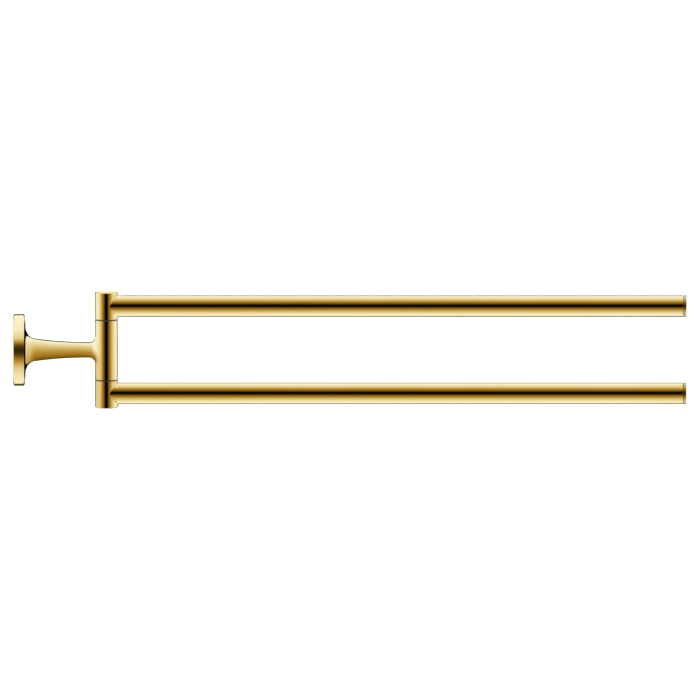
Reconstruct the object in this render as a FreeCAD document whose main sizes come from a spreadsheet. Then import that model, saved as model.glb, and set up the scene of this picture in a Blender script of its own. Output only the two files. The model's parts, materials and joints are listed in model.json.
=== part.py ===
import FreeCAD, Part
import os
import re
from collections import namedtuple

import Sketcher

# Two-arm towel holder for a bathroom wall.
# A round rosette carries a flared stem, the stem carries a short column, and two long
# round arms swivel on the upper and lower end of the column.
# Millimetres. The origin is the centre of the rosette's back, on the wall.
# X points out of the wall, along the arms at rest. Z is up, along the swivel axis.

# Driving sizes: name, value, meaning.
SIZES = [
    ("reach", 454.0, "wall to the free end of the arms"),
    ("column_offset", 62.6, "wall to the swivel axis"),
    ("column_diameter", 15.4, "barrel and sleeves"),
    ("barrel_height", 40.2, "fixed middle of the column"),
    ("sleeve_height", 18.45, "each swivel sleeve"),
    ("arm_step", 0.4, "how far the arms' surface lies inside the column's, at the middle"),
    ("arm_offset", 0.4, "how far the arms lie inwards from the middle of their sleeves"),
    ("arm_wall", 1.2, "wall of the arm tubes"),
    ("rosette_diameter", 48.6, "outside of the rosette"),

    ("running_gap", 0.04, "radial play of a turning fit"),
    ("face_gap", 0.05, "play between faces that turn on each other"),
    ("press_gap", 0.02, "radial play of pieces fixed in each other"),
    ("thread_gap", 0.05, "radial play left for a thread"),
    ("overrun", 2.0, "how far every cut runs past its piece"),

    ("rosette_rim_depth", 7.6, "wall to the front of the rim"),
    ("rosette_face_depth", 8.35, "wall to the flat that carries the stem"),
    ("rosette_floor_depth", 6.0, "wall to the inside of the face"),
    ("rosette_wall", 2.6, "wall of the rim"),
    ("rosette_back_round", 1.0, "rounding at the wall"),
    ("rosette_front_round", 1.2, "rounding of the front edge"),
    ("stem_seat_diameter", 26.8, "flat middle of the face"),

    ("plate_thickness", 5.2, "wall plate"),
    ("plate_gap", 0.2, "radial play between plate and rosette"),
    ("plate_bore", 15.0, "opening round the stem screw"),
    ("plate_chamfer", 0.5, "front edge of the plate"),
    ("plate_groove_width", 2.8, "groove that the grub screw pulls on"),
    ("plate_groove_depth", 1.2, "depth of that groove"),
    ("screw_inset", 0.5, "how far a wall screw lies inside the middle of the plate's ring"),
    ("screw_hole", 4.8, "hole for a wall screw"),
    ("screw_sink", 9.2, "countersink for its head"),
    ("screw_sink_angle", 90.0, "countersink angle in degrees"),

    ("grub_diameter", 4.0, "grub screw under the rosette"),
    ("grub_offset", 3.4, "wall to the grub screw's axis"),
    ("grub_inset", 0.4, "how far its end lies inside the rim"),
    ("grub_socket", 2.0, "key size of its socket"),
    ("grub_socket_depth", 1.2, "depth of its socket"),

    ("stem_base_diameter", 26.0, "foot of the flare"),
    ("flare_radius", 7.0, "hollow curve of the flare"),
    ("flare_length", 6.2, "foot to where the long taper begins"),
    ("taper_slope", 7.9, "slope there in degrees"),
    ("neck_diameter", 10.6, "thinnest part of the stem"),
    ("neck_run", 2.1, "straight part of the neck before its fillet"),
    ("barrel_fillet", 3.9, "fillet between stem and barrel"),
    ("barrel_edge_chamfer", 0.2, "fine edge at the ends of the barrel"),

    ("spigot_diameter", 10.0, "stem's spigot in the rosette"),
    ("spigot_flats", 8.0, "across its two flats"),
    ("spigot_gap", 0.1, "play of the spigot all round"),
    ("spigot_relief", 0.2, "how far the spigot stays short of the washer"),
    ("stem_screw_diameter", 5.0, "screw that holds the stem"),
    ("stem_screw_length", 16.0, "its length under the head"),
    ("stem_screw_spare", 2.0, "hole past its tip"),
    ("stem_screw_head", 9.0, "its head"),
    ("stem_screw_head_height", 2.6, "height of its head"),
    ("stem_screw_socket", 3.0, "key size of its socket"),
    ("stem_screw_socket_depth", 1.6, "depth of its socket"),
    ("stem_washer_diameter", 13.6, "washer under the stem screw"),
    ("stem_washer_thickness", 1.0, "its thickness"),

    ("spindle_step", 1.0, "how far the pin's threaded ends lie inside its surface"),
    ("spindle_chamfer", 0.6, "chamfer of its ends"),
    ("spindle_relief", 0.3, "how far its shoulder stays below the washer"),
    ("bush_wall", 1.0, "polymer bush in the sleeve"),
    ("bush_relief", 0.4, "how far it ends below the sleeve's shoulder"),
    ("bush_chamfer", 0.3, "chamfer of its mouth"),
    ("seam_washer_thickness", 0.6, "dark friction washer that shows as a seam"),
    ("seam_washer_inset", 0.2, "how far it lies inside the column's surface"),
    ("sleeve_wall", 1.7, "wall round the sleeve's wide pocket"),
    ("sleeve_shoulder", 0.94, "ledge between its pocket and its bore"),
    ("sleeve_end_round", 0.9, "outer edge of the column"),
    ("sleeve_edge_chamfer", 0.2, "fine edge at the seam"),
    ("stack_gap", 0.25, "thrust washer and disc spring to the pocket's wall"),
    ("stack_play", 0.1, "their radial play on the pin"),
    ("thrust_washer_thickness", 0.8, "flat washer on the shoulder"),
    ("spring_thickness", 0.5, "disc spring's sheet"),
    ("spring_height", 1.0, "disc spring's height under load"),
    ("nut_gap", 0.23, "lock nut's corners to the pocket's wall"),
    ("nut_height", 3.0, "lock nut's height"),
    ("nut_room", 0.65, "lock nut to the sleeve's cap"),
    ("sleeve_cap_thickness", 1.6, "plug that closes the sleeve"),
    ("sleeve_cap_chamfer", 0.25, "its fine edge"),

    ("saddle_gap", 0.03, "between a tube's saddle and its sleeve"),
    ("insert_length", 25.0, "swivel axis to the end of the insert in the tube"),
    ("insert_spigot", 7.0, "spigot of the insert in the sleeve's wall"),
    ("insert_spigot_gap", 0.3, "spigot's tip to the sleeve's pocket"),
    ("tube_end_chamfer", 0.2, "fine edge of the tube at the groove"),
    ("end_groove_width", 0.4, "fine groove before the end cap"),
    ("end_groove_depth", 0.5, "its depth"),
    ("end_cap_thickness", 1.8, "visible disc of the end cap"),
    ("end_cap_round", 0.6, "outer edge of the end cap"),
    ("end_cap_spigot", 10.0, "length of its spigot in the tube"),
    ("end_cap_wall", 1.6, "wall of the hollow spigot"),
]

SHEET = "Sizes"
NAMES = {name for name, value, meaning in SIZES}

# Places that several pieces share, in words of the sheet.
COLUMN_RADIUS = "column_diameter / 2"
ARM_RADIUS = "(column_diameter / 2 - arm_step)"
ROSETTE_RADIUS = "rosette_diameter / 2"
PLATE_RADIUS = f"({ROSETTE_RADIUS} - rosette_wall - plate_gap)"
SLEEVE_BASE = "(barrel_height / 2 + seam_washer_thickness + face_gap)"
ARM_LEVEL = "(sleeve_height / 2 - arm_offset)"
ARM_HEIGHT = f"({SLEEVE_BASE} + {ARM_LEVEL})"
TUBE_BORE_RADIUS = f"({ARM_RADIUS} - arm_wall)"

# The swivel, from the column's surface inwards: pocket, bore, bush, pin, thread.
POCKET_RADIUS = f"({COLUMN_RADIUS} - sleeve_wall)"
SLEEVE_BORE_RADIUS = f"({POCKET_RADIUS} - sleeve_shoulder)"
BUSH_RADIUS = f"({SLEEVE_BORE_RADIUS} - press_gap)"
SPINDLE_RADIUS = f"({BUSH_RADIUS} - bush_wall - running_gap)"
THREAD_RADIUS = f"({SPINDLE_RADIUS} - spindle_step)"
STACK_RADIUS = f"({POCKET_RADIUS} - stack_gap)"
STACK_BORE_RADIUS = f"({THREAD_RADIUS} + stack_play)"
NUT_FLATS = f"(({POCKET_RADIUS} - nut_gap) * sqrt(3))"

# The same, from the sleeve's outer end inwards, as heights over its inner end.
NUT_BASE = "(sleeve_height - sleeve_cap_thickness - nut_room - nut_height)"
SPRING_BASE = f"({NUT_BASE} - spring_height)"
WASHER_BASE = f"({SPRING_BASE} - thrust_washer_thickness)"
SLEEVE_STEP = f"({WASHER_BASE} - face_gap)"

TUBE_END = "(reach - column_offset - end_cap_thickness - end_groove_width)"
SADDLE_DIAMETER = "(column_diameter + 2 * saddle_gap)"
INSERT_TIP = f"({POCKET_RADIUS} + insert_spigot_gap)"

SIDES = ("upper", "lower")

# A corner of an outline. across and up are sizes in words. Where bend is given, an arc
# of that radius leads on to the next corner, anticlockwise for a turn of +1 and
# clockwise for -1.
Corner = namedtuple("Corner", "across up bend turn", defaults=(None, 0))

doc = FreeCAD.newDocument("towel_holder")
sheet = doc.addObject("Spreadsheet::Sheet", SHEET)
for row, (name, value, meaning) in enumerate(SIZES, start=1):
    sheet.set(f"A{row}", name)
    sheet.set(f"B{row}", str(value))
    sheet.set(f"C{row}", meaning)
    sheet.setAlias(f"B{row}", name)
doc.recompute()


def bound(words):
    """The expression for a size in words: each name gets its sheet before it."""
    return re.sub(r"[a-z_]+", lambda found: f"{SHEET}.{found[0]}" if found[0] in NAMES else found[0], words)


def value_of(words):
    """The present value of a size in words."""
    return float(sheet.evalExpression(bound(words)))


def new_body(label):
    """An empty body under the piece's own name."""
    body = doc.addObject("PartDesign::Body", label)
    body.Label = label
    return body


def new_sketch(body, role, name, offset=None):
    """An empty sketch on one of the body's origin planes, moved along the plane's normal by offset."""
    sketch = body.newObject("Sketcher::SketchObject", f"{body.Name}_{name}")
    plane = next(item for item in body.Origin.OriginFeatures if item.Role == role)
    sketch.AttachmentSupport = [(plane, "")]
    sketch.MapMode = "FlatFace"
    if offset:
        sketch.setExpression("AttachmentOffset.Base.z", bound(offset))
    return sketch


def hold(sketch, kind, place, words, name):
    """Hold one dimension of a sketch to a size in words."""
    index = sketch.addConstraint(Sketcher.Constraint(kind, *place, value_of(words)))
    sketch.renameConstraint(index, name)
    sketch.setExpression(f"Constraints.{name}", bound(words))


def hold_point(sketch, edge, end, across, up, name):
    """Hold a point of an edge at its two sizes from the sketch's origin."""
    for kind, axis, words, way in (("DistanceX", -2, across, "across"), ("DistanceY", -1, up, "up")):
        if words == "0":
            sketch.addConstraint(Sketcher.Constraint("PointOnObject", edge, end, axis))
        else:
            hold(sketch, kind, (-1, 1, edge, end), words, f"{name}_{way}")


def arc_between(start, end, radius, turn):
    """The shorter arc between two points, anticlockwise for a turn of +1."""
    chord = end - start
    rise = max(radius ** 2 - (chord.Length / 2) ** 2, 0) ** 0.5
    side = FreeCAD.Vector(-chord.y, chord.x, 0).normalize() * turn
    centre = (start + end) / 2 + side * rise
    first, last = (start, end) if turn > 0 else (end, start)
    circle = Part.Circle(centre, FreeCAD.Vector(0, 0, 1), radius)
    return Part.ArcOfCircle(circle, circle.parameter(first), circle.parameter(last))


def draw_outline(sketch, corners, name="corner"):
    """Draw a closed outline through the corners and hold every one of them."""
    points = [FreeCAD.Vector(value_of(corner.across), value_of(corner.up), 0) for corner in corners]
    edges = []
    for number, corner in enumerate(corners):
        start = points[number]
        end = points[(number + 1) % len(points)]
        if corner.bend:
            shape = arc_between(start, end, value_of(corner.bend), corner.turn)
            ends = (1, 2) if corner.turn > 0 else (2, 1)
        else:
            shape = Part.LineSegment(start, end)
            ends = (1, 2)
        edges.append((sketch.addGeometry(shape), ends))
    for number, corner in enumerate(corners):
        edge, ends = edges[number]
        before, before_ends = edges[number - 1]
        sketch.addConstraint(Sketcher.Constraint("Coincident", before, before_ends[1], edge, ends[0]))
    for number, corner in enumerate(corners):
        edge, ends = edges[number]
        hold_point(sketch, edge, ends[0], corner.across, corner.up, f"{name}{number}")
        if corner.bend:
            hold(sketch, "Radius", (edge,), corner.bend, f"{name}{number}_bend")


def draw_circle(sketch, diameter, name, across="0", up="0"):
    """Draw a circle held at its centre and by its diameter."""
    centre = FreeCAD.Vector(value_of(across), value_of(up), 0)
    circle = Part.Circle(centre, FreeCAD.Vector(0, 0, 1), value_of(diameter) / 2)
    edge = sketch.addGeometry(circle)
    hold_point(sketch, edge, 3, across, up, name)
    hold(sketch, "Diameter", (edge,), diameter, f"{name}_diameter")


def hexagon(flats):
    """Corners of a hexagon across its flats, with two corners on the first axis."""
    far = f"{flats} / sqrt(3)"
    near = f"{flats} / sqrt(12)"
    side = f"{flats} / 2"
    return [
        Corner(far, "0"),
        Corner(near, side),
        Corner(f"-{near}", side),
        Corner(f"-{far}", "0"),
        Corner(f"-{near}", f"-{side}"),
        Corner(near, f"-{side}"),
    ]


def turn(body, corners, axis, name="profile", kind="Revolution"):
    """Turn an outline once round the first (H) or second (V) axis of the XZ plane."""
    sketch = new_sketch(body, "XZ_Plane", name)
    draw_outline(sketch, corners)
    feature = body.newObject(f"PartDesign::{kind}", f"{sketch.Name}_turned")
    feature.Profile = sketch
    feature.ReferenceAxis = (sketch, [f"{axis}_Axis"])
    feature.Angle = 360
    doc.recompute()
    return feature


def push(body, sketch, length, kind="Pad", both_ways=False, forward=True):
    """Pad or pocket a sketch by a length, to one side or half to each."""
    feature = body.newObject(f"PartDesign::{kind}", f"{sketch.Name}_{kind.lower()}")
    feature.Profile = sketch
    feature.setExpression("Length", bound(length))
    if both_ways:
        feature.SideType = "Symmetric"
    else:
        feature.Reversed = forward == (kind == "Pocket")
    doc.recompute()
    return feature


def dress_edges(body, kind, size, chosen):
    """Fillet or chamfer the edges of the body's last feature that chosen accepts."""
    last = body.Tip
    names = [f"Edge{number}" for number, edge in enumerate(last.Shape.Edges, start=1) if chosen(edge)]
    feature = body.newObject(f"PartDesign::{kind}", f"{body.Name}_{kind.lower()}")
    feature.Base = (last, names)
    feature.setExpression("Radius" if kind == "Fillet" else "Size", bound(size))
    doc.recompute()
    return feature


def seat(body, side, across, height):
    """Place a body at the column: the lower one is the upper one turned over."""
    if side == "lower":
        body.Placement = FreeCAD.Placement(FreeCAD.Vector(), FreeCAD.Rotation(FreeCAD.Vector(1, 0, 0), 180))
        height = f"-{height}"
    body.setExpression("Placement.Base.x", bound(across))
    body.setExpression("Placement.Base.z", bound(height))


def ring(label, bore_radius, outer_radius, thickness):
    """A flat washer that stands on its local origin."""
    body = new_body(label)
    turn(body, [
        Corner(bore_radius, "0"),
        Corner(outer_radius, "0"),
        Corner(outer_radius, thickness),
        Corner(bore_radius, thickness),
    ], "V")
    return body


# Rosette: a deep cup with a rounded rim and a slightly domed face.
# The dome is one arc that meets the flat for the stem without an edge.
def make_rosette():
    body = new_body("rosette")
    dome_rise = "(rosette_face_depth - rosette_rim_depth)"
    dome_run = f"({ROSETTE_RADIUS} - rosette_front_round - stem_seat_diameter / 2)"
    dome_radius = f"({dome_rise} ^ 2 + {dome_run} ^ 2) / (2 * {dome_rise})"
    inner = f"{ROSETTE_RADIUS} - rosette_wall"
    hole = "(spigot_diameter / 2 + spigot_gap)"
    turn(body, [
        Corner("0", inner),
        Corner("0", f"{ROSETTE_RADIUS} - rosette_back_round", "rosette_back_round", -1),
        Corner("rosette_back_round", ROSETTE_RADIUS),
        Corner("rosette_rim_depth - rosette_front_round", ROSETTE_RADIUS, "rosette_front_round", -1),
        Corner("rosette_rim_depth", f"{ROSETTE_RADIUS} - rosette_front_round", dome_radius, -1),
        Corner("rosette_face_depth", "stem_seat_diameter / 2"),
        Corner("rosette_face_depth", "0"),
        Corner("rosette_floor_depth", "0"),
        Corner("rosette_floor_depth", inner),
    ], "H")

    # Hole for the stem's spigot, with its two flats
    sketch = new_sketch(body, "YZ_Plane", "spigot_hole", "rosette_floor_depth")
    draw_flatted_circle(sketch, hole, "(spigot_flats / 2 + spigot_gap)")
    push(body, sketch, "rosette_face_depth - rosette_floor_depth + overrun", "Pocket")

    # Threaded hole for the grub screw, upwards through the rim
    sketch = new_sketch(body, "XY_Plane", "grub_hole", f"-{ROSETTE_RADIUS} - overrun")
    draw_circle(sketch, "grub_diameter + 2 * thread_gap", "grub", "grub_offset")
    push(body, sketch, "rosette_wall + 2 * overrun", "Pocket")
    return body


def draw_flatted_circle(sketch, radius, half_flats):
    """Draw a circle with a flat above and a flat below."""
    half_flat_length = f"sqrt({radius} ^ 2 - {half_flats} ^ 2)"
    draw_outline(sketch, [
        Corner(half_flat_length, f"-{half_flats}", radius, 1),
        Corner(half_flat_length, half_flats),
        Corner(f"-{half_flat_length}", half_flats, radius, 1),
        Corner(f"-{half_flat_length}", f"-{half_flats}"),
    ])


# Wall plate: a disc with a V-groove in its rim, into which the grub screw's cone pulls.
def make_wall_plate():
    body = new_body("wall_plate")
    turn(body, [
        Corner("0", "plate_bore / 2"),
        Corner("0", PLATE_RADIUS),
        Corner("grub_offset - plate_groove_width / 2", PLATE_RADIUS),
        Corner("grub_offset", f"{PLATE_RADIUS} - plate_groove_depth"),
        Corner("grub_offset + plate_groove_width / 2", PLATE_RADIUS),
        Corner("plate_thickness", PLATE_RADIUS + " - (plate_thickness - grub_offset - plate_groove_width / 2)"),
        Corner("plate_thickness", "plate_bore / 2 + plate_chamfer"),
        Corner("plate_thickness - plate_chamfer", "plate_bore / 2"),
    ], "H")

    # Two countersunk holes for the wall screws, side by side, about in the middle of the ring
    sketch = new_sketch(body, "YZ_Plane", "screw_holes", "plate_thickness")
    screw_offset = f"(({PLATE_RADIUS} + plate_bore / 2) / 2 - screw_inset)"
    draw_circle(sketch, "screw_hole", "left", f"-{screw_offset}")
    draw_circle(sketch, "screw_hole", "right", screw_offset)
    doc.recompute()
    holes = body.newObject("PartDesign::Hole", "wall_plate_holes")
    holes.Profile = sketch
    holes.DepthType = "ThroughAll"
    holes.HoleCutType = "Countersink"
    holes.setExpression("Diameter", bound("screw_hole"))
    holes.setExpression("HoleCutDiameter", bound("screw_sink"))
    holes.setExpression("HoleCutCountersinkAngle", bound("screw_sink_angle"))
    doc.recompute()
    return body


# Grub screw: hex socket outside, cone point as steep as the groove that it sits in.
def make_grub_screw():
    body = new_body("rosette_grub_screw")
    tip = f"({ROSETTE_RADIUS} - grub_inset - {PLATE_RADIUS} + plate_groove_depth - face_gap)"
    point = "grub_diameter * plate_groove_depth / plate_groove_width"
    turn(body, [
        Corner("0", "0"),
        Corner("grub_diameter / 2", "0"),
        Corner("grub_diameter / 2", f"{tip} - {point}"),
        Corner("0", tip),
    ], "V")
    sketch = new_sketch(body, "XY_Plane", "socket")
    draw_outline(sketch, hexagon("grub_socket"))
    push(body, sketch, "grub_socket_depth", "Pocket")
    body.setExpression("Placement.Base.x", bound("grub_offset"))
    body.setExpression("Placement.Base.z", bound(f"-({ROSETTE_RADIUS} - grub_inset)"))
    return body


# Bracket: flared stem and middle barrel as one casting.
# The flare is a hollow arc that runs on into a long, slightly hollow taper, and the
# taper ends level with the neck. A rolling fillet joins the neck to the barrel.
def make_bracket():
    body = new_body("bracket")
    foot = "rosette_face_depth"
    flare_end = f"({foot} + flare_length)"
    neck_start = f"(column_offset - {COLUMN_RADIUS} - barrel_fillet - neck_run)"
    taper_radius = f"(({neck_start} - {flare_end}) / sin(taper_slope))"
    taper_start = f"(neck_diameter / 2 + {taper_radius} * (1 - cos(taper_slope)))"
    flare_centre = f"({flare_end} + flare_radius * sin(taper_slope))"
    flare_height = f"({taper_start} + flare_radius * cos(taper_slope))"
    edge_top = f"{flare_centre} - sqrt(flare_radius ^ 2 - ({flare_height} - stem_base_diameter / 2) ^ 2)"
    turn(body, [
        Corner(foot, "0"),
        Corner(foot, "stem_base_diameter / 2"),
        Corner(edge_top, "stem_base_diameter / 2", "flare_radius", 1),
        Corner(flare_end, taper_start, taper_radius, 1),
        Corner(neck_start, "neck_diameter / 2"),
        Corner("column_offset", "neck_diameter / 2"),
        Corner("column_offset", "0"),
    ], "H")

    sketch = new_sketch(body, "XY_Plane", "barrel")
    draw_circle(sketch, "column_diameter", "barrel", "column_offset")
    push(body, sketch, "barrel_height", both_ways=True)

    radius = value_of(COLUMN_RADIUS)
    axis = value_of("column_offset")
    half_height = value_of("barrel_height / 2")

    def is_junction(edge):
        box = edge.BoundBox
        return box.ZMax < half_height / 2 and axis - radius < box.Center.x < axis

    def is_barrel_end(edge):
        box = edge.BoundBox
        return box.ZLength < radius / 2 and abs(box.Center.z) > half_height / 2

    dress_edges(body, "Fillet", "barrel_fillet", is_junction)
    dress_edges(body, "Chamfer", "barrel_edge_chamfer", is_barrel_end)

    # Spigot with two flats, which keeps the stem from turning in the rosette
    sketch = new_sketch(body, "YZ_Plane", "spigot", "rosette_floor_depth + spigot_relief")
    draw_flatted_circle(sketch, "(spigot_diameter / 2)", "(spigot_flats / 2)")
    push(body, sketch, "rosette_face_depth - rosette_floor_depth")

    # Bore for the swivel pin, right through the barrel
    sketch = new_sketch(body, "XY_Plane", "spindle_bore")
    draw_circle(sketch, f"2 * ({SPINDLE_RADIUS} + press_gap)", "bore", "column_offset")
    push(body, sketch, "barrel_height + 2 * overrun", "Pocket", both_ways=True)

    # Hole for the stem screw, from behind
    sketch = new_sketch(body, "YZ_Plane", "screw_bore")
    draw_circle(sketch, "stem_screw_diameter + 2 * thread_gap", "screw")
    tip = "rosette_floor_depth - stem_washer_thickness + stem_screw_length + stem_screw_spare"
    push(body, sketch, tip, "Pocket")
    return body


def make_stem_screw():
    body = new_body("stem_screw")
    under = "(rosette_floor_depth - stem_washer_thickness)"
    turn(body, [
        Corner(f"{under} - stem_screw_head_height", "0"),
        Corner(f"{under} - stem_screw_head_height", "stem_screw_head / 2"),
        Corner(under, "stem_screw_head / 2"),
        Corner(under, "stem_screw_diameter / 2"),
        Corner(f"{under} + stem_screw_length", "stem_screw_diameter / 2"),
        Corner(f"{under} + stem_screw_length", "0"),
    ], "H")
    sketch = new_sketch(body, "YZ_Plane", "socket", f"{under} - stem_screw_head_height")
    draw_outline(sketch, hexagon("stem_screw_socket"))
    push(body, sketch, "stem_screw_socket_depth", "Pocket")
    return body


def make_stem_washer():
    body = new_body("stem_washer")
    under = "(rosette_floor_depth - stem_washer_thickness)"
    bore = "(stem_screw_diameter / 2 + stack_play)"
    turn(body, [
        Corner(under, bore),
        Corner(under, "stem_washer_diameter / 2"),
        Corner("rosette_floor_depth", "stem_washer_diameter / 2"),
        Corner("rosette_floor_depth", bore),
    ], "H")
    return body


# Swivel pin: fixed in the barrel, with a threaded end for each lock nut.
def make_spindle():
    body = new_body("pivot_spindle")
    shoulder = f"({SLEEVE_BASE} + {WASHER_BASE} - spindle_relief)"
    end = f"({SLEEVE_BASE} + {NUT_BASE} + nut_height)"
    turn(body, [
        Corner("0", f"-{end}"),
        Corner(f"{THREAD_RADIUS} - spindle_chamfer", f"-{end}"),
        Corner(THREAD_RADIUS, f"-({end} - spindle_chamfer)"),
        Corner(THREAD_RADIUS, f"-{shoulder}"),
        Corner(SPINDLE_RADIUS, f"-{shoulder}"),
        Corner(SPINDLE_RADIUS, shoulder),
        Corner(THREAD_RADIUS, shoulder),
        Corner(THREAD_RADIUS, f"{end} - spindle_chamfer"),
        Corner(f"{THREAD_RADIUS} - spindle_chamfer", end),
        Corner("0", end),
    ], "V")
    body.setExpression("Placement.Base.x", bound("column_offset"))
    return body


# Friction washer: dark polymer, seen only as the seam between barrel and sleeve.
def make_friction_washer(side):
    bore = f"{SPINDLE_RADIUS} + stack_play"
    body = ring(f"{side}_friction_washer", bore, f"{COLUMN_RADIUS} - seam_washer_inset", "seam_washer_thickness")
    seat(body, side, "column_offset", "barrel_height / 2")


# Sleeve: stepped bore for the bush and the spring stack, rounded outer end, and a
# shallow recess that the arm's insert is brazed in.
def make_sleeve(side):
    body = new_body(f"{side}_sleeve")
    turn(body, [
        Corner(SLEEVE_BORE_RADIUS, "0"),
        Corner(f"{COLUMN_RADIUS} - sleeve_edge_chamfer", "0"),
        Corner(COLUMN_RADIUS, "sleeve_edge_chamfer"),
        Corner(COLUMN_RADIUS, "sleeve_height - sleeve_end_round", "sleeve_end_round", 1),
        Corner(f"{COLUMN_RADIUS} - sleeve_end_round", "sleeve_height"),
        Corner(POCKET_RADIUS, "sleeve_height"),
        Corner(POCKET_RADIUS, SLEEVE_STEP),
        Corner(SLEEVE_BORE_RADIUS, SLEEVE_STEP),
    ], "V")
    sketch = new_sketch(body, "YZ_Plane", "arm_recess", f"{INSERT_TIP} - press_gap")
    draw_circle(sketch, "insert_spigot + 2 * press_gap", "spigot", "0", ARM_LEVEL)
    push(body, sketch, f"{COLUMN_RADIUS} - {INSERT_TIP} + overrun", "Pocket")
    seat(body, side, "column_offset", SLEEVE_BASE)


# Bush: plain polymer bearing, pressed in the sleeve, turning on the pin.
def make_bush(side):
    body = new_body(f"{side}_bush")
    bore = f"({BUSH_RADIUS} - bush_wall)"
    length = f"{SLEEVE_STEP} - bush_relief"
    turn(body, [
        Corner(bore, "bush_chamfer"),
        Corner(f"{bore} + bush_chamfer", "0"),
        Corner(BUSH_RADIUS, "0"),
        Corner(BUSH_RADIUS, length),
        Corner(bore, length),
    ], "V")
    seat(body, side, "column_offset", SLEEVE_BASE)


def make_thrust_washer(side):
    body = ring(f"{side}_thrust_washer", STACK_BORE_RADIUS, STACK_RADIUS, "thrust_washer_thickness")
    seat(body, side, "column_offset", f"({SLEEVE_BASE} + {WASHER_BASE})")


# Disc spring: a shallow cone, its outer edge on the washer and its inner edge under the nut.
def make_disc_spring(side):
    body = new_body(f"{side}_disc_spring")
    turn(body, [
        Corner(STACK_RADIUS, "0"),
        Corner(STACK_RADIUS, "spring_thickness"),
        Corner(STACK_BORE_RADIUS, "spring_height"),
        Corner(STACK_BORE_RADIUS, "spring_height - spring_thickness"),
    ], "V")
    seat(body, side, "column_offset", f"({SLEEVE_BASE} + {SPRING_BASE})")


# Lock nut: hexagon with its outer corners turned off.
def make_lock_nut(side):
    body = new_body(f"{side}_lock_nut")
    sketch = new_sketch(body, "XY_Plane", "hexagon")
    draw_outline(sketch, hexagon(NUT_FLATS))
    draw_circle(sketch, f"2 * ({THREAD_RADIUS} + thread_gap)", "thread")
    push(body, sketch, "nut_height")
    flat = f"{NUT_FLATS} / 2"
    far = f"({POCKET_RADIUS} + overrun)"
    turn(body, [
        Corner(flat, "nut_height"),
        Corner(far, f"nut_height - ({far} - {flat}) / sqrt(3)"),
        Corner(far, "nut_height"),
    ], "V", "chamfer", "Groove")
    seat(body, side, "column_offset", f"({SLEEVE_BASE} + {NUT_BASE})")


# Sleeve cap: a thin plug, flush with the sleeve's end.
def make_sleeve_cap(side):
    body = new_body(f"{side}_sleeve_cap")
    radius = f"({POCKET_RADIUS} - press_gap)"
    turn(body, [
        Corner("0", "0"),
        Corner(radius, "0"),
        Corner(radius, "sleeve_cap_thickness - sleeve_cap_chamfer"),
        Corner(f"{radius} - sleeve_cap_chamfer", "sleeve_cap_thickness"),
        Corner("0", "sleeve_cap_thickness"),
    ], "V")
    seat(body, side, "column_offset", f"({SLEEVE_BASE} + sleeve_height - sleeve_cap_thickness)")


def cut_saddle(body):
    """Cut the end at the column to the column's round shape."""
    sketch = new_sketch(body, "XY_Plane", "saddle")
    draw_circle(sketch, SADDLE_DIAMETER, "saddle")
    push(body, sketch, f"2 * ({ARM_RADIUS} + overrun)", "Pocket", both_ways=True)


# Arm tube: straight and round, saddle-cut on the sleeve, square at the free end.
def make_arm_tube(side):
    body = new_body(f"{side}_arm_tube")
    turn(body, [
        Corner("0", TUBE_BORE_RADIUS),
        Corner(TUBE_END, TUBE_BORE_RADIUS),
        Corner(TUBE_END, f"{ARM_RADIUS} - tube_end_chamfer"),
        Corner(f"{TUBE_END} - tube_end_chamfer", ARM_RADIUS),
        Corner("0", ARM_RADIUS),
    ], "H")
    cut_saddle(body)
    seat(body, side, "column_offset", ARM_HEIGHT)


# Arm insert: a turned plug in the tube, with a spigot in the sleeve's recess.
def make_arm_insert(side):
    body = new_body(f"{side}_arm_insert")
    turn(body, [
        Corner("0", "0"),
        Corner("0", f"{TUBE_BORE_RADIUS} - press_gap"),
        Corner("insert_length", f"{TUBE_BORE_RADIUS} - press_gap"),
        Corner("insert_length", "0"),
    ], "H")
    cut_saddle(body)
    sketch = new_sketch(body, "YZ_Plane", "spigot", INSERT_TIP)
    draw_circle(sketch, "insert_spigot", "spigot")
    push(body, sketch, f"{COLUMN_RADIUS} - {INSERT_TIP} + insert_spigot / 2")
    seat(body, side, "column_offset", ARM_HEIGHT)


# End cap: a slim disc, a narrow neck that shows as a groove, and a hollow spigot.
def make_end_cap(side):
    body = new_body(f"{side}_end_cap")
    end = "(reach - column_offset)"
    plug = f"({TUBE_BORE_RADIUS} - press_gap)"
    neck = f"({ARM_RADIUS} - end_groove_depth)"
    turn(body, [
        Corner(f"{end} - end_cap_thickness", "0"),
        Corner(f"{end} - end_cap_thickness", f"{plug} - end_cap_wall"),
        Corner(f"{TUBE_END} - end_cap_spigot", f"{plug} - end_cap_wall"),
        Corner(f"{TUBE_END} - end_cap_spigot", plug),
        Corner(TUBE_END, plug),
        Corner(TUBE_END, neck),
        Corner(f"{end} - end_cap_thickness", neck),
        Corner(f"{end} - end_cap_thickness", ARM_RADIUS),
        Corner(f"{end} - end_cap_round", ARM_RADIUS, "end_cap_round", -1),
        Corner(end, f"{ARM_RADIUS} - end_cap_round"),
        Corner(end, "0"),
    ], "H")
    seat(body, side, "column_offset", ARM_HEIGHT)


make_rosette()
make_wall_plate()
make_grub_screw()
make_bracket()
make_stem_washer()
make_stem_screw()
make_spindle()
for side in SIDES:
    make_friction_washer(side)
    make_sleeve(side)
    make_bush(side)
    make_thrust_washer(side)
    make_disc_spring(side)
    make_lock_nut(side)
    make_sleeve_cap(side)
    make_arm_tube(side)
    make_arm_insert(side)
    make_end_cap(side)
doc.recompute()

for item in doc.Objects:
    if "Invalid" in item.State or "Error" in item.State:
        raise RuntimeError(f"{item.Name} failed: {item.State}")
    if item.isDerivedFrom("Sketcher::SketchObject") and not item.FullyConstrained:
        raise RuntimeError(f"{item.Name} is not fully held")

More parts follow.
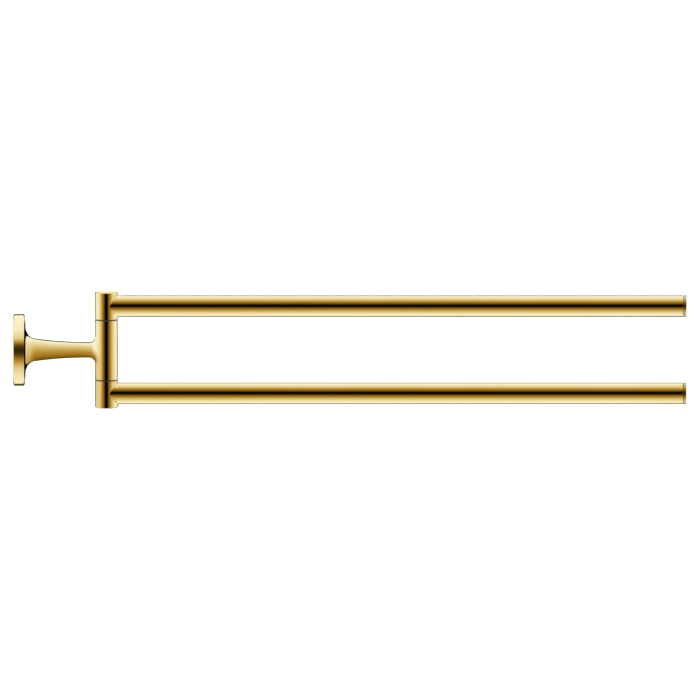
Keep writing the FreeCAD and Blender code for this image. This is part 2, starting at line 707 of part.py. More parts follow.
bodies = [item for item in doc.Objects if item.isDerivedFrom("PartDesign::Body")]
for body in bodies:
    if body.Shape.isNull() or not body.Shape.isValid() or len(body.Shape.Solids) != 1:
        raise RuntimeError(f"{body.Label} is not one sound solid")

os.makedirs("parts", exist_ok=True)
for body in bodies:
    body.Shape.exportStep(f"parts/{body.Label}.step")
    print(f"{body.Label}: {body.Shape.Volume:.1f} cubic mm")
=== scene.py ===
# %% [markdown]
# # A two-arm towel holder in polished gold
#
# The real holder sits on a wall beside a basin: a round rosette, a flared stem, a short
# upright column, and two long arms that swing sideways on it. Its shapes come exact from
# the CAD model, so this lesson is about finishes, fine joints, light and the camera.
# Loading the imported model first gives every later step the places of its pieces.

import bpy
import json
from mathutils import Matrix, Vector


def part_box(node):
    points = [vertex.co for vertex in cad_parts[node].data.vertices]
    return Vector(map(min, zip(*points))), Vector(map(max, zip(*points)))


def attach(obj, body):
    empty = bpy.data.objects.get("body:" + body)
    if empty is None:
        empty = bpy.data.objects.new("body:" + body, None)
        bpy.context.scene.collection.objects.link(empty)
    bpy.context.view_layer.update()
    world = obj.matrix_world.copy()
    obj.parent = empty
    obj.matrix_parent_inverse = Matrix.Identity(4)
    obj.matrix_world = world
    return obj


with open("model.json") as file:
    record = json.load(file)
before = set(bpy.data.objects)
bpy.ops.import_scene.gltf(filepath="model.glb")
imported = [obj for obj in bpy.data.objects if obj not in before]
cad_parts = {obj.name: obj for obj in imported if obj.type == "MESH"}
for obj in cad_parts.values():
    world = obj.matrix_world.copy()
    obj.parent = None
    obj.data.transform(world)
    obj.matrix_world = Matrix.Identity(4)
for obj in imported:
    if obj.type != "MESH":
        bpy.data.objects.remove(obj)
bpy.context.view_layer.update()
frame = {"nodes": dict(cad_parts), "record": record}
nodes = frame["nodes"]

# %% [markdown]
# ## Modules and the unit
#
# bmesh makes the few new meshes, and mathutils turns and measures. The frame is in
# metres, but such a holder is measured in millimetres, and MM turns one to the other.

# %% Modules and the unit
import json
import math

import bmesh
import bpy
from mathutils import Matrix, Vector

MM = 0.001
scene = bpy.context.scene
print("one millimetre is", MM, "m")

# %% [markdown]
# ## The camera
#
# The photograph looks at the holder from the side, a few degrees from above, through a
# long lens: the arms stay parallel and the column's seams bow only slightly. So the
# lens is long, and the camera as far away as the picture's width asks for.

# %% Camera
SENSOR = 36.0
LENS = 800.0
PICTURE_WIDTH = 472.3 * MM
AIM = Vector((227.0 * MM, 0, -0.14 * MM))
ELEVATION = math.radians(5.6)
CLIP_SHARE = 4

camera_distance = PICTURE_WIDTH * LENS / SENSOR
camera_data = bpy.data.cameras.new("camera")
camera_data.sensor_width = SENSOR
camera_data.lens = LENS
camera_data.clip_end = CLIP_SHARE * camera_distance
camera = bpy.data.objects.new("camera", camera_data)
scene.collection.objects.link(camera)
towards_camera = Vector((0, -math.cos(ELEVATION), math.sin(ELEVATION)))
camera.location = AIM + camera_distance * towards_camera
camera.rotation_euler = towards_camera.to_track_quat("Z", "Y").to_euler()
scene.camera = camera
scene.view_settings.view_transform = "Standard"
print("camera distance:", round(camera_distance, 2), "m")

# %% [markdown]
# ## Where things lie
#
# Reflections, fine joints and wear all need the same few places: the swivel's axis, the
# height of each arm, the radii of arm, column and rosette. They are read from the boxes
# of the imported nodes, so a change in the CAD carries through.

# %% Places read from the model
tube_low, tube_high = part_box("upper_arm_tube")
sleeve_low, sleeve_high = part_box("upper_sleeve")

AXIS_X = (sleeve_low.x + sleeve_high.x) / 2
COLUMN_RADIUS = (sleeve_high.x - sleeve_low.x) / 2
COLUMN_END = sleeve_high.z
SEAM_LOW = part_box("bracket")[1].z
SEAM_HIGH = sleeve_low.z
ARM_RADIUS = (tube_high.z - tube_low.z) / 2
ARM_HEIGHT = (tube_high.z + tube_low.z) / 2
TUBE_END = tube_high.x
ARM_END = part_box("upper_end_cap")[1].x
ROSETTE_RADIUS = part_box("rosette")[1].z
for label, length in (
    ("swivel axis", AXIS_X), ("column radius", COLUMN_RADIUS), ("column end", COLUMN_END),
    ("arm radius", ARM_RADIUS), ("arm height", ARM_HEIGHT), ("arm end", ARM_END),
):
    print(label, round(length / MM, 2), "mm")

# %% [markdown]
# ## Small helpers for node trees
#
# Every finish is a chain of nodes. A few helpers keep the chains readable: one
# adds a node with its settings, one joins a value or another node's output to a
# socket, and the others are sums, ranges and ramps in one line each.


# %% Node helpers
def add_node(tree, kind, **settings):
    node = tree.nodes.new(kind)
    for name, value in settings.items():
        setattr(node, name, value)
    return node


def feed(tree, socket, source):
    if isinstance(source, bpy.types.NodeSocket):
        tree.links.new(source, socket)
    else:
        socket.default_value = source


def feed_all(tree, node, sources):
    for socket, source in zip(node.inputs, sources):
        feed(tree, socket, source)


def calculate(tree, operation, *sources):
    node = add_node(tree, "ShaderNodeMath", operation=operation)
    feed_all(tree, node, sources)
    return node.outputs[0]


def reckon(tree, operation, *sources):
    """The same for vectors."""
    node = add_node(tree, "ShaderNodeVectorMath", operation=operation)
    feed_all(tree, node, sources)
    return node.outputs["Value" if operation in ("LENGTH", "DOT_PRODUCT") else "Vector"]


def gap_to(tree, value, place):
    return calculate(tree, "ABSOLUTE", calculate(tree, "SUBTRACT", value, place))


def split(tree, vector):
    node = add_node(tree, "ShaderNodeSeparateXYZ")
    feed(tree, node.inputs[0], vector)
    return node.outputs


def ease(tree, value, start, end, low=0.0, high=1.0):
    """A soft step: low before start, high after end."""
    node = add_node(tree, "ShaderNodeMapRange", interpolation_type="SMOOTHSTEP")
    feed_all(tree, node, (value, start, end, low, high))
    return node.outputs["Result"]


def noise(tree, vector, scale, detail=2.0, roughness=0.5, **settings):
    node = add_node(tree, "ShaderNodeTexNoise", **settings)
    feed(tree, node.inputs["W" if "noise_dimensions" in settings else "Vector"], vector)
    for name, value in (("Scale", scale), ("Detail", detail), ("Roughness", roughness)):
        node.inputs[name].default_value = value
    return node.outputs["Fac"]


def blend_colours(tree, factor, first, second):
    """The first colour where the factor is 0, the second where it is 1."""
    node = add_node(tree, "ShaderNodeMix", data_type="RGBA")
    feed(tree, node.inputs[0], factor)
    for socket, source in ((node.inputs[6], first), (node.inputs[7], second)):
        feed(tree, socket, source if isinstance(source, bpy.types.NodeSocket) else (*source, 1))
    return node.outputs[2]


def ramp_of(tree, factor, stops):
    node = add_node(tree, "ShaderNodeValToRGB")
    ramp = node.color_ramp
    while len(ramp.elements) < len(stops):
        ramp.elements.new(0.5)
    for element, (place, colour) in zip(ramp.elements, stops):
        element.position = place
        element.color = (*colour, 1)
    feed(tree, node.inputs["Fac"], factor)
    return node.outputs["Color"]


# %% [markdown]
# ## The tones of the studio
#
# Polished metal has almost no look of its own: it shows what stands round it. Gold turns
# a grey studio warm, and the deeper a tone is, the redder the gold makes it. So the
# studio's greys are given as nine named tones, from the black of a flag to the ivory of
# a lamp behind cloth, and every reflected thing is painted with them alone. The
# brightest is more than white, which no ramp can hold, so the ramps hold dimmed tones
# and the lamps make up for it.

# %% Tones
TONE_GAIN = 1.5
BLACK = (0, 0, 0)
SOOT = (0.035, 0.031, 0.012)
UMBER = (0.13, 0.088, 0.014)
BROWN = (0.34, 0.213, 0.014)
AMBER = (0.50, 0.40, 0.09)
STRAW = (0.66, 0.64, 0.34)
CREAM = (0.82, 0.90, 0.75)
IVORY = (1.02, 1.24, 1.50)
LAMPLIGHT = (1.02, 1.0, 0.5)


def between(first, second, share=0.5):
    return tuple(a + (b - a) * share for a, b in zip(first, second))


def dimmed(tone):
    return tuple(part / TONE_GAIN for part in tone)


def spread(stops, start, end):
    """Stops given in degrees or millimetres, as places from 0 to 1, with dimmed tones."""
    return [((place - start) / (end - start), dimmed(tone)) for place, tone in stops]


print("darkest and brightest tone:", BLACK, IVORY)

# %% [markdown]
# ## The studio that the gold reflects
#
# The photograph's studio is a pale room with one dark flag beside the camera. The flag
# gives each round bar its black line, and its soft border gives the brown and amber
# beside it. Directions near the flag's middle read dark, and the room brightens away
# from it. Far behind the object the room falls dark again, and that draws the thin dark
# line round every outline. All this follows from the direction alone, and the camera
# itself sees plain white.

# %% The room
FLAG_TILT = math.radians(9.5)
FLAG_HALF_ACROSS = 0.165
FLAG_HALF_UP = 0.15
ROOM = [
    (0, BLACK), (4, SOOT), (11.5, UMBER), (25.5, BROWN), (39, AMBER), (53.5, STRAW), (71, CREAM),
    (112, IVORY), (134, IVORY), (143, CREAM), (148, AMBER), (151.5, BLACK),
]

world = bpy.data.worlds.new("studio_room")
scene.world = world
world.use_nodes = True
room = world.node_tree
room.nodes.clear()
direction = add_node(room, "ShaderNodeTexCoord").outputs["Generated"]
to_flag = add_node(room, "ShaderNodeCombineXYZ")
for place, row in enumerate(Matrix.Rotation(FLAG_TILT, 3, "X")):
    feed(room, to_flag.inputs[place], reckon(room, "DOT_PRODUCT", direction, tuple(row)))
sideways = reckon(room, "ABSOLUTE", reckon(room, "MULTIPLY", to_flag.outputs[0], (1, 0, 1)))
past_flag = reckon(room, "SUBTRACT", sideways, (FLAG_HALF_ACROSS, 0, FLAG_HALF_UP))
beyond = reckon(room, "MAXIMUM", past_flag, (0, 0, 0))
opening = calculate(
    room, "ARCTAN2", reckon(room, "LENGTH", beyond),
    calculate(room, "MULTIPLY", split(room, to_flag.outputs[0])["Y"], -1.0),
)
room_light = add_node(room, "ShaderNodeBackground")
half_turns = calculate(room, "DIVIDE", opening, math.pi)
feed(room, room_light.inputs["Color"], ramp_of(room, half_turns, spread(ROOM, 0, 180)))
room_light.inputs["Strength"].default_value = TONE_GAIN
white_paper = add_node(room, "ShaderNodeBackground")
white_paper.inputs["Color"].default_value = (1, 1, 1, 1)
seen = add_node(room, "ShaderNodeMixShader")
feed(room, seen.inputs["Fac"], add_node(room, "ShaderNodeLightPath").outputs["Is Camera Ray"])
feed(room, seen.inputs[1], room_light.outputs[0])
feed(room, seen.inputs[2], white_paper.outputs[0])
feed(room, add_node(room, "ShaderNodeOutputWorld").inputs["Surface"], seen.outputs[0])
print("room stops:", len(ROOM))

# %% [markdown]
# ## Floor and soft light
#
# The holder hangs free, so the floor lies well below it and only its far part is in the
# picture. A wide soft sun from above burns it out to plain white. The floor stays out
# of the metal's reflections, because the room already says what lies below.

# %% Floor and sun
FLOOR_HEIGHT = -320 * MM
FLOOR_REACH = 30.0
FLOOR_GREY = 0.85
FLOOR_ROUGHNESS = 0.9
SUN_STRENGTH = 2.6
SUN_WIDTH = math.radians(50)
SUN_TURN = (math.radians(25), math.radians(-15), 0)


def new_object(name, made):
    """Turn a bmesh to an object of the scene."""
    mesh = bpy.data.meshes.new(name)
    made.to_mesh(mesh)
    made.free()
    thing = bpy.data.objects.new(name, mesh)
    scene.collection.objects.link(thing)
    return thing


made = bmesh.new()
bmesh.ops.create_grid(made, x_segments=1, y_segments=1, size=FLOOR_REACH)
bmesh.ops.translate(made, verts=made.verts, vec=(0, 0, FLOOR_HEIGHT))
floor = new_object("floor", made)
floor.visible_glossy = False

floor_paint = bpy.data.materials.new("floor_paint")
floor_paint.use_nodes = True
floor_shader = floor_paint.node_tree.nodes["Principled BSDF"]
floor_shader.inputs["Base Color"].default_value = (FLOOR_GREY, FLOOR_GREY, FLOOR_GREY, 1)
floor_shader.inputs["Roughness"].default_value = FLOOR_ROUGHNESS
floor_shader.inputs["Specular IOR Level"].default_value = 0
floor.data.materials.append(floor_paint)

sun_data = bpy.data.lights.new("soft_sun", "SUN")
sun_data.energy = SUN_STRENGTH
sun_data.angle = SUN_WIDTH
sun = bpy.data.objects.new("soft_sun", sun_data)
scene.collection.objects.link(sun)
sun.rotation_euler = SUN_TURN
sun.visible_glossy = False
print("floor at", FLOOR_HEIGHT, "m, sun strength", SUN_STRENGTH)

# %% [markdown]
# ## Papers that only the reflections see
#
# In the photograph the stem and the rosette's rim have no hard black line, though they
# lie as the arms do. They show a soft fall from pale above to brown below, as if a sheet
# of paper were curled close round them. So they get one, and a few flat papers and a
# card help the column. Each is a thin mesh that glows in the named tones, one set for
# each of its sides. Neither the camera nor the floor sees any paper.


# %% Paper helpers
def glossy_only(thing):
    thing.visible_camera = False
    thing.visible_diffuse = False
    thing.visible_shadow = False
    thing.visible_transmission = False


def plain_tone(tone):
    def tone_of(tree, point):
        return (*dimmed(tone), 1)
    return tone_of


def paper_glow(name, tone_of, outside_of):
    """A glowing paper: the tones of the side that it faces with, and of its back."""
    material = bpy.data.materials.new(name)
    material.use_nodes = True
    tree = material.node_tree
    tree.nodes.clear()
    point = add_node(tree, "ShaderNodeTexCoord").outputs["Object"]
    sides = add_node(tree, "ShaderNodeMixShader")
    feed(tree, sides.inputs["Fac"], add_node(tree, "ShaderNodeNewGeometry").outputs["Backfacing"])
    for tones, socket in ((tone_of, sides.inputs[1]), (outside_of, sides.inputs[2])):
        glow = add_node(tree, "ShaderNodeEmission")
        feed(tree, glow.inputs["Color"], tones(tree, point))
        glow.inputs["Strength"].default_value = TONE_GAIN
        feed(tree, socket, glow.outputs[0])
    feed(tree, add_node(tree, "ShaderNodeOutputMaterial").inputs["Surface"], sides.outputs[0])
    return material


def new_paper(name, made, tone_of, outside_of):
    paper = new_object(name, made)
    paper.data.materials.append(paper_glow(name, tone_of, outside_of))
    glossy_only(paper)
    print(name, "faces:", len(paper.data.polygons))
    return paper


# %% [markdown]
# ### Tones that turn round the stem
#
# The curled sheets take their tones from the angle round the stem's axis, in degrees: 0
# faces the camera, 90 is on top, -90 below and 180 behind. Towards the foot and towards
# the barrel the metal itself turns away, and plain rings of tone would break there, so
# the angle is shifted softly before it is looked up. The foot's thin tip ends black, as
# the photograph's does. Lengths run along the stem from the wall, but the tip's are
# heights.

# %% Tones round stem and rim
STEM_TONES = [
    (-180, AMBER), (-130, AMBER), (-110, BLACK), (-96, BLACK), (-82, UMBER),
    (-62, between(UMBER, BROWN)), (-48, BROWN), (-9, AMBER), (12, between(AMBER, STRAW, 0.9)),
    (38, CREAM), (70, IVORY), (82, IVORY), (90, UMBER), (96, BLACK), (112, BLACK), (130, STRAW),
    (155, CREAM), (180, AMBER),
]
RIM_TONES = [
    (-180, STRAW), (-150, CREAM), (-120, AMBER), (-106, BLACK), (-80, BLACK), (-76, AMBER),
    (-70, IVORY), (-44, between(CREAM, IVORY, 0.7)), (-28, CREAM), (-21, STRAW), (-14.8, AMBER),
    (-9.2, BROWN), (-4, UMBER), (1.7, SOOT), (7.7, SOOT), (13, UMBER), (16.6, BROWN), (19.2, AMBER),
    (22.2, STRAW), (26, CREAM), (43, IVORY), (86, IVORY), (95.5, UMBER), (108, UMBER), (128, STRAW),
    (150, CREAM), (180, STRAW),
]
NEAR_OUTLINE = (62.0, 86.0)
FOOT_SWELL = (11 * MM, 15.5 * MM)
FOOT_TURN = 31.0
FOOT_FLATTENS = -0.35
FOOT_TIP_MIDDLE = 0.25 * MM
FOOT_TIP = (9.3 * MM, 9.9 * MM)
FOOT_REACH = (16 * MM, 20 * MM)
NECK = (44 * MM, 52 * MM)
NECK_TURN = 6.0
BARREL_SIDE = (51.5 * MM, 57.5 * MM)
BARREL_TURN = 85.0
BARREL_CORNER = (55.6 * MM, 57.8 * MM)
LIFTED_FROM = (-90.0, -66.0)
LIFTED_TO = 82.0


def radius_round(tree, point, axis, middle_x=0.0):
    """Distance from the stem's axis, along X, or from an upright axis at middle_x."""
    keep = (0, 1, 1) if axis == "X" else (1, 1, 0)
    moved = reckon(tree, "SUBTRACT", point, (middle_x, 0, 0))
    return reckon(tree, "LENGTH", reckon(tree, "MULTIPLY", moved, keep))


def angle_round_stem(tree, point):
    place = split(tree, point)
    towards = calculate(tree, "MULTIPLY", place["Y"], -1.0)
    turn = calculate(tree, "ARCTAN2", place["Z"], towards)
    return calculate(tree, "MULTIPLY", turn, 180 / math.pi)


def tone_by_angle(tree, angle, stops):
    share = calculate(tree, "MULTIPLY_ADD", angle, 1 / 360, 0.5)
    return ramp_of(tree, share, spread(stops, -180, 180))


def stem_tone(tree, point):
    place = split(tree, point)
    angle = angle_round_stem(tree, point)
    inside = ease(tree, calculate(tree, "ABSOLUTE", angle), *NEAR_OUTLINE, 1.0, 0.0)
    swell = calculate(tree, "MULTIPLY", ease(tree, place["X"], *FOOT_SWELL, 1.0, 0.0), inside)
    foot_turn = calculate(tree, "MULTIPLY_ADD", angle, FOOT_FLATTENS, FOOT_TURN)
    angle = calculate(tree, "MULTIPLY_ADD", swell, foot_turn, angle)
    lift = calculate(
        tree, "ADD", ease(tree, place["X"], *BARREL_SIDE, 0.0, BARREL_TURN),
        ease(tree, place["X"], *NECK, 0.0, NECK_TURN),
    )
    lift = calculate(tree, "MULTIPLY", lift, ease(tree, angle, *LIFTED_FROM))
    lifted = calculate(tree, "MINIMUM", calculate(tree, "ADD", angle, lift), LIFTED_TO)
    tones = tone_by_angle(tree, calculate(tree, "MAXIMUM", angle, lifted), STEM_TONES)
    tones = blend_colours(tree, ease(tree, place["X"], *BARREL_CORNER), tones, dimmed(CREAM))
    tip = ease(tree, gap_to(tree, place["Z"], FOOT_TIP_MIDDLE), *FOOT_TIP)
    tip = calculate(tree, "MULTIPLY", tip, ease(tree, place["X"], *FOOT_REACH, 1.0, 0.0))
    return blend_colours(tree, tip, tones, BLACK)


def rim_tone(tree, point):
    return tone_by_angle(tree, angle_round_stem(tree, point), RIM_TONES)


print("stem tones:", len(STEM_TONES), "rim tones:", len(RIM_TONES))

# %% [markdown]
# ### Tones beside the column
#
# The column's left side looks back past the stem, to the outside of the stem's sheet and
# to a round cover before the rosette. Both carry these tones: paler towards the camera's
# side, and deeper below. Near the stem the cover takes the stem's own tones. Its back,
# which only the rosette sees, is black near the stem, so that the rosette's face is dark
# as in the photograph, and has the rim's tones further out.

# %% Tones beside the column
SIDE_REACH = 60.0
SIDE_ABOVE = [
    (-52, between(AMBER, STRAW)), (-47, between(STRAW, CREAM, 0.15)), (-32, between(STRAW, CREAM, 0.8)),
    (-19, between(CREAM, IVORY, 0.25)), (-8, between(CREAM, IVORY, 0.65)), (4, IVORY),
    (14, IVORY), (22, between(CREAM, IVORY, 0.3)),
]
SIDE_BELOW = [
    (-52, between(AMBER, STRAW, 0.6)), (-47, between(STRAW, CREAM, 0.25)),
    (-32, between(STRAW, CREAM, 0.55)), (-19, between(STRAW, CREAM, 0.85)),
    (-8, between(STRAW, CREAM, 0.95)), (5, CREAM), (22, between(STRAW, CREAM, 0.5)),
]
SIDE_HEIGHTS = (-16 * MM, 6 * MM)
COVER_INNER = (14.1 * MM, 14.4 * MM)
COVER_EDGE = (21.8 * MM, 22.5 * MM)


def side_tone(tree, point):
    place = split(tree, point)
    share = calculate(tree, "MULTIPLY_ADD", place["Y"], 0.5 / (SIDE_REACH * MM), 0.5)
    above, below = (
        ramp_of(tree, share, spread(stops, -SIDE_REACH, SIDE_REACH)) for stops in (SIDE_ABOVE, SIDE_BELOW)
    )
    return blend_colours(tree, ease(tree, place["Z"], *SIDE_HEIGHTS), below, above)


def cover_front_tone(tree, point):
    away = ease(tree, radius_round(tree, point, "X"), *COVER_INNER)
    return blend_colours(tree, away, stem_tone(tree, point), side_tone(tree, point))


def cover_back_tone(tree, point):
    outer = ease(tree, radius_round(tree, point, "X"), *COVER_EDGE)
    return blend_colours(tree, outer, BLACK, rim_tone(tree, point))


print("side tones:", len(SIDE_ABOVE), "above,", len(SIDE_BELOW), "below")

# %% [markdown]
# ### The sheet round the stem
#
# A line along the stem's outline, a little outside it, is spun round the stem's axis.
# The outline is the flared foot's arc and then the slow taper. Small fins stand across
# the sheet along the foot, and carry the same tones to where the surface curves so
# sharply that it would look along the sheet. Outlines are in millimetres: x, radius.

# %% Stem sheet and foot fins
PAPER_GAP = 1.6
FLARE_CENTRE = (15.51, 14.61)
FLARE_RADIUS = 7.0
FLARE_SHEET_RADIUS = 6.0
FLARE_TURNS = (5.9, 84)
FLARE_STEPS = 8
NECK_RADIUS = 5.3
NECK_START = 48
TAPER = [(20, 6.97), (30, 6.02), (40, 5.46), (NECK_START, NECK_RADIUS)]
FIN_TURNS = (20, 30, 42, 56)
ROUND_STEPS = 96


def flare_point(radius, turn):
    """A point round the flare's centre: 0 degrees lies left of it, 90 below."""
    centre_x, centre_radius = FLARE_CENTRE
    turn = math.radians(turn)
    return centre_x - radius * math.cos(turn), centre_radius - radius * math.sin(turn)


def curled_paper(name, lines, tone_of, outside_of=plain_tone(IVORY), facing=(0, -1)):
    """Lines spun round the stem's axis. facing holds their shares along X and outwards."""
    made = bmesh.new()
    for line in lines:
        points = [made.verts.new((x * MM, 0, radius * MM)) for x, radius in line]
        for first, second in zip(points, points[1:]):
            made.edges.new((first, second))
    bmesh.ops.spin(
        made, geom=made.verts[:] + made.edges[:], cent=(0, 0, 0), axis=(1, 0, 0),
        angle=2 * math.pi, steps=ROUND_STEPS, use_merge=True,
    )
    for face in made.faces:
        middle = face.calc_center_median()
        outwards = Vector((0, middle.y, middle.z)).normalized()
        if face.normal.dot(Vector((facing[0], 0, 0)) + facing[1] * outwards) < 0:
            face.normal_flip()
    new_paper(name, made, tone_of, outside_of)


first_turn, last_turn = FLARE_TURNS
stem_line = [
    flare_point(FLARE_SHEET_RADIUS, first_turn + (last_turn - first_turn) * step / FLARE_STEPS)
    for step in range(FLARE_STEPS + 1)
]
stem_line += [(x, radius + PAPER_GAP) for x, radius in TAPER]
curled_paper("stem_paper", [stem_line], stem_tone, side_tone)
curled_paper("foot_fins", [
    [flare_point(radius, turn) for radius in (FLARE_SHEET_RADIUS, FLARE_RADIUS)] for turn in FIN_TURNS
], stem_tone, stem_tone)

# %% [markdown]
# ### The sheet round the fillet
#
# The fillet between neck and barrel is what a ball leaves that rolls round the neck and
# touches the barrel all the way. The sheet follows the same ball, a little inside its
# surface, so it keeps one distance from the metal. A grid is bent to that path: one
# direction turns round the neck, the other goes from neck to barrel. Rings of fins stand
# across it, as on the foot.

# %% Neck sheet and fins
FILLET_BALL = 3.9 * MM
SHEET_BALL = FILLET_BALL - PAPER_GAP * MM
STRAIGHT_SHARE = 1 / 3
NECK_FIN_SHARES = (0.3, 0.5, 0.68, 0.82, 0.93)
ACROSS_STEPS = 12
WELD = 0.001 * MM


def fillet_point(turn, share, radius):
    """A point round the ball's centre: share 0 lies towards the neck, 1 towards the barrel."""
    outwards = Vector((0, -math.cos(turn), math.sin(turn)))
    centre = outwards * (NECK_RADIUS * MM + FILLET_BALL)
    centre.x = AXIS_X - math.sqrt((COLUMN_RADIUS + FILLET_BALL) ** 2 - centre.y ** 2)
    to_barrel = Vector((AXIS_X - centre.x, -centre.y, 0)).normalized()
    return centre + radius * (-outwards).slerp(to_barrel, share)


def neck_sheet(turn, share):
    """Straight along the neck for the first third, then round the ball's path."""
    if share > STRAIGHT_SHARE:
        return fillet_point(turn, (share - STRAIGHT_SHARE) / (1 - STRAIGHT_SHARE), SHEET_BALL)
    end = fillet_point(turn, 0, SHEET_BALL)
    start_x = NECK_START * MM
    return Vector((start_x + (end.x - start_x) * share / STRAIGHT_SHARE, end.y, end.z))


def neck_fin(share):
    def place_of(turn, depth):
        return fillet_point(turn, share, SHEET_BALL + (FILLET_BALL - SHEET_BALL) * depth)
    return place_of


def wrapped_paper(name, place_of):
    """A sheet bent to place_of(turn, share), with turns 0 to 2 pi and shares 0 to 1."""
    made = bmesh.new()
    bmesh.ops.create_grid(made, x_segments=ROUND_STEPS, y_segments=ACROSS_STEPS, size=0.5)
    for vert in made.verts:
        vert.co = place_of((vert.co.x + 0.5) * 2 * math.pi, vert.co.y + 0.5)
    bmesh.ops.remove_doubles(made, verts=made.verts, dist=WELD)
    new_paper(name, made, stem_tone, stem_tone)


wrapped_paper("neck_paper", neck_sheet)
for number, share in enumerate(NECK_FIN_SHARES):
    wrapped_paper(f"neck_fin_{number}", neck_fin(share))

# %% [markdown]
# ### Rim sheet and cover
#
# A plain tube lies round the rosette's rim. The cover is a flat ring between rosette and
# column, with a small collar that reaches in to the foot, so that no gap of bright room
# shows between the foot's sheet and the cover.

# %% Rim sheet and cover
RIM_GAP = 2.0
RIM_BEHIND_WALL = 1
COVER_PLACE = 10.3
COVER_REACH = 52
COLLAR_PLACE = 8.25
COLLAR_STEP = 1

rim_radius = ROSETTE_RADIUS / MM + RIM_GAP
collar_x, collar_radius = stem_line[0]
curled_paper("rim_paper", [[(-RIM_BEHIND_WALL, rim_radius), (COVER_PLACE, rim_radius)]], rim_tone)
curled_paper("rosette_cover_paper", [[
    (COLLAR_PLACE, collar_radius), (collar_x, collar_radius),
    (COVER_PLACE, collar_radius + COLLAR_STEP), (COVER_PLACE, COVER_REACH),
]], cover_back_tone, cover_front_tone, facing=(-1, 1))

# %% [markdown]
# ## Flat papers
#
# One lies between the arms and keeps them from mirroring each other. One hangs behind
# the column and gives its flat top a warm pale face. One lies under the column, black
# below the rounded edge and striped like the column before it. Two narrow ones lie over
# the seams, so that the small chamfers there mirror the column's stripes and not the
# room above. Papers that a neighbour would meet edge-on are clear from that side.

# %% Flat papers
ARMS_START = AXIS_X + COLUMN_RADIUS + 0.15 * MM
ARMS_HALF = 12 * MM
BEHIND_CORNER = (AXIS_X - 10 * MM, 25 * MM, COLUMN_END + 0.3 * MM)
BEHIND_SIZE = (20 * MM, 6 * MM)
UNDER_CORNER = (AXIS_X - 7.2 * MM, -10.5 * MM, -COLUMN_END - 1.0 * MM)
UNDER_SIZE = (14.2 * MM, 10 * MM)
DARK_EDGE = (COLUMN_RADIUS + 0.2 * MM, COLUMN_RADIUS + 1.0 * MM)
SEAM_PAPER_LIFT = 1.5 * MM
SEAM_PAPER_FRONT = 0.6 * MM
SKIMMED = (0.45, 0.6)


def tone_across_arms(stops):
    """Tones from the front edge, 0, to the back edge, 1, of the paper between the arms."""
    def tone_of(tree, point):
        share = calculate(tree, "MULTIPLY_ADD", split(tree, point)["Y"], 0.5 / ARMS_HALF, 0.5)
        return ramp_of(tree, share, spread(stops, 0, 1))
    return tone_of


def column_stripes(tree, point):
    """The room's tones as the column shows them."""
    place = split(tree, point)
    across = gap_to(tree, place["X"], AXIS_X)
    turn = calculate(tree, "ARCTAN2", across, calculate(tree, "MULTIPLY", place["Y"], -1.0))
    share = calculate(tree, "MULTIPLY_ADD", turn, 2 / math.pi, -math.asin(FLAG_HALF_ACROSS) / math.pi)
    return ramp_of(tree, share, spread(ROOM, 0, 180))


def dark_under_column(tree, point):
    """Soot under the column's edge, which mirrors it, and its stripes before it."""
    outside = ease(tree, radius_round(tree, point, "Z", AXIS_X), *DARK_EDGE)
    return blend_colours(tree, outside, dimmed(SOOT), column_stripes(tree, point))


def flat_paper(name, corner, size, facing, tone_of, outside_of=plain_tone(IVORY)):
    """A plain rectangle: its lowest corner, its two sizes, and the axis it faces."""
    made = bmesh.new()
    bmesh.ops.create_grid(made, x_segments=1, y_segments=1, size=0.5)
    bmesh.ops.translate(made, verts=made.verts, vec=(0.5, 0.5, 0))
    bmesh.ops.scale(made, verts=made.verts, vec=(*size, 1))
    if facing == "Y":
        bmesh.ops.rotate(made, verts=made.verts, matrix=Matrix.Rotation(math.pi / 2, 3, "X"))
    bmesh.ops.translate(made, verts=made.verts, vec=corner)
    return new_paper(name, made, tone_of, outside_of)


def let_through(paper, share_of):
    """Turn a paper clear by a share that varies over it."""
    tree = paper.data.materials[0].node_tree
    surface = tree.nodes["Material Output"].inputs["Surface"]
    fading = add_node(tree, "ShaderNodeMixShader")
    feed(tree, fading.inputs["Fac"], share_of(tree))
    feed(tree, fading.inputs[1], surface.links[0].from_socket)
    feed(tree, fading.inputs[2], add_node(tree, "ShaderNodeBsdfTransparent").outputs[0])
    feed(tree, surface, fading.outputs[0])


def edge_on(tree):
    """1 where a ray skims the paper, 0 where it meets it squarely."""
    return ease(tree, add_node(tree, "ShaderNodeLayerWeight").outputs["Facing"], *SKIMMED)


between_arms = flat_paper(
    "between_arms_paper", (ARMS_START, -ARMS_HALF, 0), (TUBE_END - ARMS_START, 2 * ARMS_HALF), "Z",
    tone_across_arms([(0, CREAM), (0.1, between(CREAM, IVORY)), (0.38, IVORY)]),
    tone_across_arms([
        (0, between(STRAW, CREAM, 0.9)), (0.17, CREAM), (0.42, between(CREAM, IVORY)), (0.7, IVORY),
    ]),
)
flat_paper("behind_column_paper", BEHIND_CORNER, BEHIND_SIZE, "Y", plain_tone(LAMPLIGHT))
flat_paper("under_column_paper", UNDER_CORNER, UNDER_SIZE, "Z", dark_under_column)
seam_papers = [
    flat_paper(
        name, (AXIS_X - COLUMN_RADIUS, -COLUMN_RADIUS - SEAM_PAPER_FRONT, top + SEAM_PAPER_LIFT),
        (2 * COLUMN_RADIUS, COLUMN_RADIUS), "Z", column_stripes, column_stripes,
    )
    for name, top in (("upper_seam_paper", SEAM_HIGH), ("lower_seam_paper", -SEAM_LOW))
]
for paper in (between_arms, *seam_papers):
    let_through(paper, edge_on)

# %% [markdown]
# ## The card before the column
#
# The last is a narrow black card with soft borders, which makes the column's dark band
# as black as the arms' lines. It stands close to the column. Further away it would have
# to be wider for the same band, and then the arms would mirror it beside their saddles.

